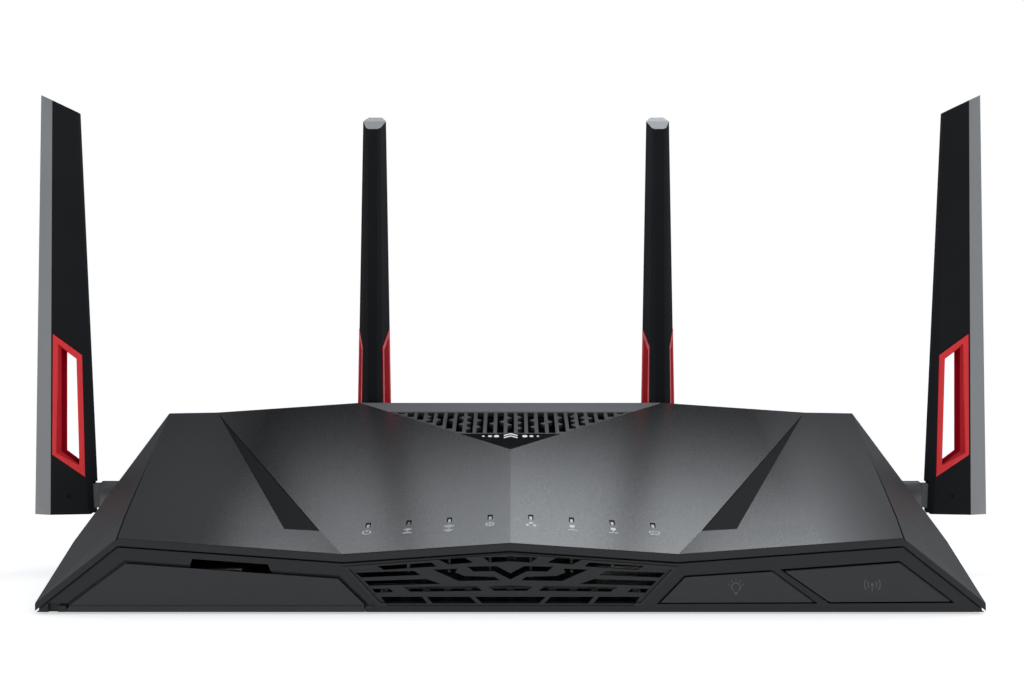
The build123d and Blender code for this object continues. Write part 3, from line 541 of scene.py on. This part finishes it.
def badge_point(x, y):
    depth = BADGE_MARK_Y + y * BADGE_STRETCH
    height = BADGE_TIP_Z + BADGE_RISE * depth
    return Vector((x * MM, front_y + (BADGE_TIP_DEPTH + depth) * MM, height * MM))


def make_badge_mark():
    """Two nested chevrons with a row of shrinking dots on each side."""
    shapes = []
    for low in (-1.9, 0.2):
        shapes.append([(-2.6, low), (0.0, low + 1.7), (2.6, low), (2.6, low + 0.9), (0.0, low + 2.6),
                       (-2.6, low + 0.9)])
    for side in (-1, 1):
        for i, radius in enumerate((1.0, 0.75, 0.5)):
            shapes.append(dot(side * (5.4 + i * 2.5), 0.0, radius, 16))
    normal = Vector((0, -BADGE_RISE, 1.0)).normalized()
    printed("badge_mark", shapes, badge_point, normal, SILVER, "case")


def key_symbol(name, shapes, centre_x, centre_z, body):
    """A faint symbol on the upright face of a front key."""
    face_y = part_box(name.replace("symbol", "button"))[0].y

    def place(x, y):
        return Vector(((centre_x + x) * MM, face_y, (centre_z + y) * MM))

    printed(name, shapes, place, Vector((0, -1, 0)), FAINT_INK, body)


def lamp_outlines():
    """A lamp with rays over it."""
    bulb_y, ray_start, ray_end = 0.3, 1.95, 2.6
    shapes = [arc(0, bulb_y, 1.35, -60, 240, 0.32, 20), block(-0.55, -1.75, 0.55, -1.35),
              block(-0.4, -2.3, 0.4, -2.05)]
    for angle in range(20, 180, 35):
        across, up = math.cos(math.radians(angle)), math.sin(math.radians(angle))
        shapes.append(dash(across * ray_start, bulb_y + up * ray_start,
                           across * ray_end, bulb_y + up * ray_end, 0.28))
    return shapes


def mast_outlines():
    """A radio mast with waves on both sides."""
    shapes = [dot(0, 0, 0.5, 12), dash(0, -0.6, 0, -2.2, 0.34)]
    for i in range(2):
        for start in (-42, 138):
            shapes.append(arc(0, 0, 1.4 + 1.1 * i, start, start + 84, 0.32))
    return shapes


# middle of each front key's face, in millimetres: across, and up from the table
LIGHT_KEY_MIDDLE = (71.2, 8.3)
RADIO_KEY_MIDDLE = (114.2, 9.4)


make_status_symbols()
make_badge_mark()
key_symbol("light_symbol", lamp_outlines(), *LIGHT_KEY_MIDDLE, "light_key")
key_symbol("radio_symbol", mast_outlines(), *RADIO_KEY_MIDDLE, "radio_key")


# ---- floor, light --------------------------------------------------------------------------
FLOOR_REACH = 90.0
FLOOR_GLOW = 0.55
# dome: brightness by the sine of the height above the horizon, then from left to right
DOME_STOPS = ((0.0, 0.02), (0.68, 0.02), (0.88, 0.5), (1.0, 1.2))
DOME_LEFT = 0.62
DOME_RIGHT = 0.95
# pale walls to the left and right: brightness, and where each begins and is full
SIDE_LEFT = 1.0
SIDE_RIGHT = 1.05
LEFT_WALL = (-0.26, -0.85)
RIGHT_WALL = (0.20, 0.85)
TINT = (0.955, 1.0, 1.045)
# a row of softboxes behind the router: left edge, right edge and radiance of each
SOFTBOX_COLUMNS = ((-0.8, -0.12, 0.12), (-0.12, 0.0, 1.95), (0.0, 0.15, 3.0), (0.15, 0.8, 0.9))
SOFTBOX_Y = 0.17
SOFTBOX_Z = 0.284
SOFTBOX_HEIGHT = 0.22
SOFTBOX_DIP = 0.1


def build_floor():
    corners = [(x * FLOOR_REACH, y * FLOOR_REACH, floor_z)
               for x, y in ((-1, -1), (1, -1), (1, 1), (-1, 1))]
    mesh = bpy.data.meshes.new("floor")
    mesh.from_pydata(corners, [], [(0, 1, 2, 3)])
    floor = bpy.data.objects.new("floor", mesh)
    bpy.context.scene.collection.objects.link(floor)
    material, tree, shader = node_material("pale_floor")
    place = object_coords(tree)
    mottle = noise(tree, place, 6.0, 2.0)
    tree.links.new(mix_colors(tree, mottle, (0.86, 0.86, 0.865), (0.88, 0.88, 0.885)),
                   shader.inputs["Base Color"])
    shader.inputs["Roughness"].default_value = 0.7
    shader.inputs["Emission Color"].default_value = (1.0, 1.0, 1.0, 1)
    shader.inputs["Emission Strength"].default_value = FLOOR_GLOW
    mesh.materials.append(material)


def area_light(name, place, target, size, size_y, watts):
    data = bpy.data.lights.new(name, "AREA")
    data.shape = "RECTANGLE"
    data.size = size
    data.size_y = size_y
    data.energy = watts
    data.color = TINT
    lamp = bpy.data.objects.new(name, data)
    bpy.context.scene.collection.objects.link(lamp)
    lamp.location = place
    lamp.visible_camera = False
    lamp.rotation_euler = (Vector(target) - Vector(place)).to_track_quat("-Z", "Y").to_euler()


def build_world():
    """White to the camera; for the object a soft studio dome, dark low down and bright above."""
    world = bpy.data.worlds.new("studio")
    bpy.context.scene.world = world
    world.use_nodes = True
    tree = world.node_tree
    dome = tree.nodes["Background"]
    coords = tree.nodes.new("ShaderNodeTexCoord")
    direction = separate(tree, coords.outputs["Generated"])
    height = tree.nodes.new("ShaderNodeValToRGB")
    height.color_ramp.interpolation = "EASE"
    while len(height.color_ramp.elements) < len(DOME_STOPS):
        height.color_ramp.elements.new(0.5)
    for element, (place, level) in zip(height.color_ramp.elements, DOME_STOPS):
        element.position = place
        element.color = (level, level, level, 1)
    tree.links.new(direction["Z"], height.inputs["Fac"])
    across = ramp(tree, direction["X"], -0.5, 0.5, DOME_LEFT, DOME_RIGHT)
    left_wall = ramp(tree, direction["X"], *LEFT_WALL, 0.0, SIDE_LEFT)
    right_wall = ramp(tree, direction["X"], *RIGHT_WALL, 0.0, SIDE_RIGHT)
    walls = math_node(tree, "ADD", left_wall, right_wall)
    overhead = math_node(tree, "MULTIPLY", height.outputs["Color"], across)
    tree.links.new(math_node(tree, "ADD", overhead, walls), dome.inputs["Strength"])
    dome.inputs["Color"].default_value = (*TINT, 1)
    white = tree.nodes.new("ShaderNodeBackground")
    white.inputs["Color"].default_value = (1.0, 1.0, 1.0, 1)
    white.inputs["Strength"].default_value = 1.0
    path = tree.nodes.new("ShaderNodeLightPath")
    mix = tree.nodes.new("ShaderNodeMixShader")
    tree.links.new(path.outputs["Is Camera Ray"], mix.inputs["Fac"])
    tree.links.new(dome.outputs["Background"], mix.inputs[1])
    tree.links.new(white.outputs["Background"], mix.inputs[2])
    tree.links.new(mix.outputs["Shader"], tree.nodes["World Output"].inputs["Surface"])


build_floor()
build_world()
for number, (x0, x1, level) in enumerate(SOFTBOX_COLUMNS, 1):
    middle, width = (x0 + x1) / 2, x1 - x0
    power = math.pi * level * width * SOFTBOX_HEIGHT
    area_light("softbox_%d" % number, (middle, SOFTBOX_Y, SOFTBOX_Z),
               (middle, -1.0, SOFTBOX_Z - SOFTBOX_DIP), width, SOFTBOX_HEIGHT, power)
bpy.context.scene.view_settings.view_transform = "Standard"
